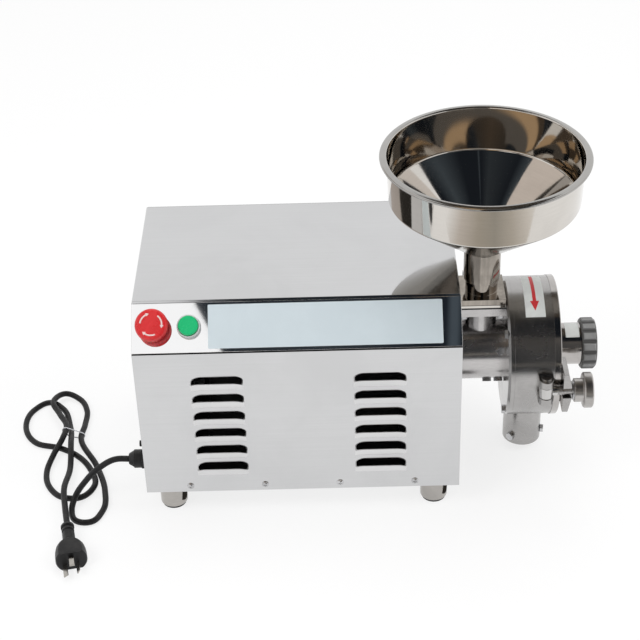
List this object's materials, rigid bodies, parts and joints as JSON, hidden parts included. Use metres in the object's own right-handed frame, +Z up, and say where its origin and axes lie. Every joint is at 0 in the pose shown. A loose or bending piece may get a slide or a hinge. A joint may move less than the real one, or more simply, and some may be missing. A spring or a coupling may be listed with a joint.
{
  "type": "electric grain mill",
  "caption": "Bench-top electric grain mill: louvred stainless casing with the motor inside, dish hopper, burr chamber with adjusting knob and swing-bolt cover, flour spout and mains lead.",
  "frame": {"origin": "on the floor under the middle of the mill's bounding box, without its lead", "axes": "+X to the grinding head, +Y to the back, +Z up"},
  "size_m": [0.7727, 0.3969, 0.4452],
  "materials": {
    "casing_sheet": "brushed stainless sheet",
    "panel_sheet": "mirror polished stainless sheet",
    "polished_steel": "polished stainless steel",
    "machined_steel": "satin turned stainless steel",
    "turned_steel": "bright turned steel",
    "zinc_screw": "bright zinc plated",
    "bearing_steel": "ground steel",
    "burr_iron": "hardened cast iron",
    "brass_nut": "machined",
    "motor_paint": "grey machine enamel",
    "winding_copper": "varnished copper wire and lamination",
    "rotor_aluminium": "cast",
    "capacitor_can": "drawn can",
    "black_plastic": "moulded",
    "knob_plastic": "dark grey moulded",
    "grey_plastic": "moulded",
    "red_plastic": "glossy moulded",
    "green_plastic": "glossy moulded",
    "bezel_plastic": "satin silver",
    "rubber_pad": "moulded",
    "cord_sheath": "satin black rubber sheath",
    "tie_plastic": "white plastic coated wire",
    "blade_brass": "nickel plated brass"
  },
  "bodies": {
    "casing": {"wrap_cover": "casing_sheet", "front_panel": "casing_sheet", "rear_panel": "casing_sheet", "control_panel": "panel_sheet", "base_tray": "casing_sheet", "feet": "turned_steel", "foot_pads": "rubber_pad", "panel_screws": "zinc_screw", "motor_shell": "motor_paint", "end_shields": "motor_paint", "stator": "winding_copper", "fan_cowl": "motor_paint", "ball_bearings": "bearing_steel", "capacitors": "capacitor_can", "auger_housing": "machined_steel", "shaft_seal": "rubber_pad", "throat_gasket": "rubber_pad", "gate_guide": "polished_steel", "throat_tube": "polished_steel", "hex_bolts": "zinc_screw", "chamber_ring": "machined_steel", "chamber_back": "machined_steel", "discharge_spout": "machined_steel", "clamp_bracket": "machined_steel", "hinge_bracket": "machined_steel", "hinge_pins": "turned_steel", "cable_gland": "black_plastic", "gland_nut": "black_plastic", "power_cord": "cord_sheath", "cord_tie": "tie_plastic", "plug_body": "cord_sheath", "plug_blades": "blade_brass", "stop_collar": "black_plastic", "start_bezel": "bezel_plastic", "contact_blocks": "grey_plastic", "reset_body": "black_plastic"},
    "hopper": {"hopper_bowl": "polished_steel", "hopper_spigot": "polished_steel"},
    "gate": {"feed_gate": "polished_steel"},
    "stop_stem": {"stop_stem": "black_plastic"},
    "stop_head": {"stop_head": "red_plastic"},
    "start_button": {"start_cap": "green_plastic"},
    "reset_button": {"reset_cap": "black_plastic"},
    "rotor": {"motor_shaft": "turned_steel", "rotor_core": "rotor_aluminium", "cooling_fan": "black_plastic", "auger": "machined_steel", "rotating_burr": "burr_iron", "burr_nut": "brass_nut"},
    "cover": {"cover": "machined_steel", "cover_lugs": "machined_steel", "guide_pins": "turned_steel", "hub_screw": "turned_steel"},
    "burr_slide": {"static_burr": "burr_iron", "burr_carrier": "machined_steel"},
    "knob": {"adjust_screw": "turned_steel", "adjust_knob": "knob_plastic"},
    "swing_bolt": {"swing_bolt": "turned_steel"},
    "washer": {"clamp_washer": "turned_steel"},
    "hand_nut": {"hand_nut": "turned_steel"}
  },
  "joints": [
    {"name": "hopper_lift", "type": "slide", "parent": "casing", "child": "hopper", "axis": [0, 0, 1], "range_m": [0, 0.06]},
    {"name": "gate_pull", "type": "slide", "parent": "casing", "child": "gate", "axis": [0, 1, 0], "range_m": [0, 0.04]},
    {"name": "stop_push", "type": "slide", "parent": "casing", "child": "stop_stem", "axis": [0, 0.7148, -0.6993], "range_m": [0, 0.004], "stiffness_N_per_m": 600},
    {"name": "stop_twist", "type": "hinge", "parent": "stop_stem", "child": "stop_head", "pos_m": [-0.261, -0.12449, 0.29146], "axis": [0, 0.7148, -0.6993], "range_deg": [0, 40], "stiffness_Nm_per_rad": 0.2},
    {"name": "start_push", "type": "slide", "parent": "casing", "child": "start_button", "axis": [0, 0.7148, -0.6993], "range_m": [0, 0.003], "stiffness_N_per_m": 400},
    {"name": "reset_push", "type": "slide", "parent": "casing", "child": "reset_button", "axis": [1, 0, 0], "range_m": [0, 0.002], "stiffness_N_per_m": 400},
    {"name": "rotor_spin", "type": "hinge", "parent": "casing", "child": "rotor", "pos_m": [0.112, 0, 0.1595], "axis": [1, 0, 0], "continuous": true},
    {"name": "cover_hinge", "type": "hinge", "parent": "casing", "child": "cover", "pos_m": [0.233, 0.103, 0.1595], "axis": [0, 0, 1], "range_deg": [0, 110]},
    {"name": "burr_travel", "type": "slide", "parent": "cover", "child": "burr_slide", "axis": [1, 0, 0], "range_m": [0, 0.003]},
    {"name": "knob_turn", "type": "hinge", "parent": "burr_slide", "child": "knob", "pos_m": [0.28, 0, 0.1595], "axis": [1, 0, 0], "range_deg": [0, 720]},
    {"name": "bolt_swing", "type": "hinge", "parent": "casing", "child": "swing_bolt", "pos_m": [0.221, -0.1, 0.1595], "axis": [0, 0, -1], "range_deg": [0, 100]},
    {"name": "washer_travel", "type": "slide", "parent": "swing_bolt", "child": "washer", "axis": [1, 0, 0], "range_m": [0, 0.00875]},
    {"name": "nut_turn", "type": "hinge", "parent": "washer", "child": "hand_nut", "pos_m": [0.26, -0.1, 0.1595], "axis": [1, 0, 0], "range_deg": [0, 1800]}
  ],
  "couplings": [
    {"joint": "knob_turn", "follows": "burr_travel", "rad_per_m": 4188.8},
    {"joint": "nut_turn", "follows": "washer_travel", "rad_per_m": 3590.4}
  ]
}
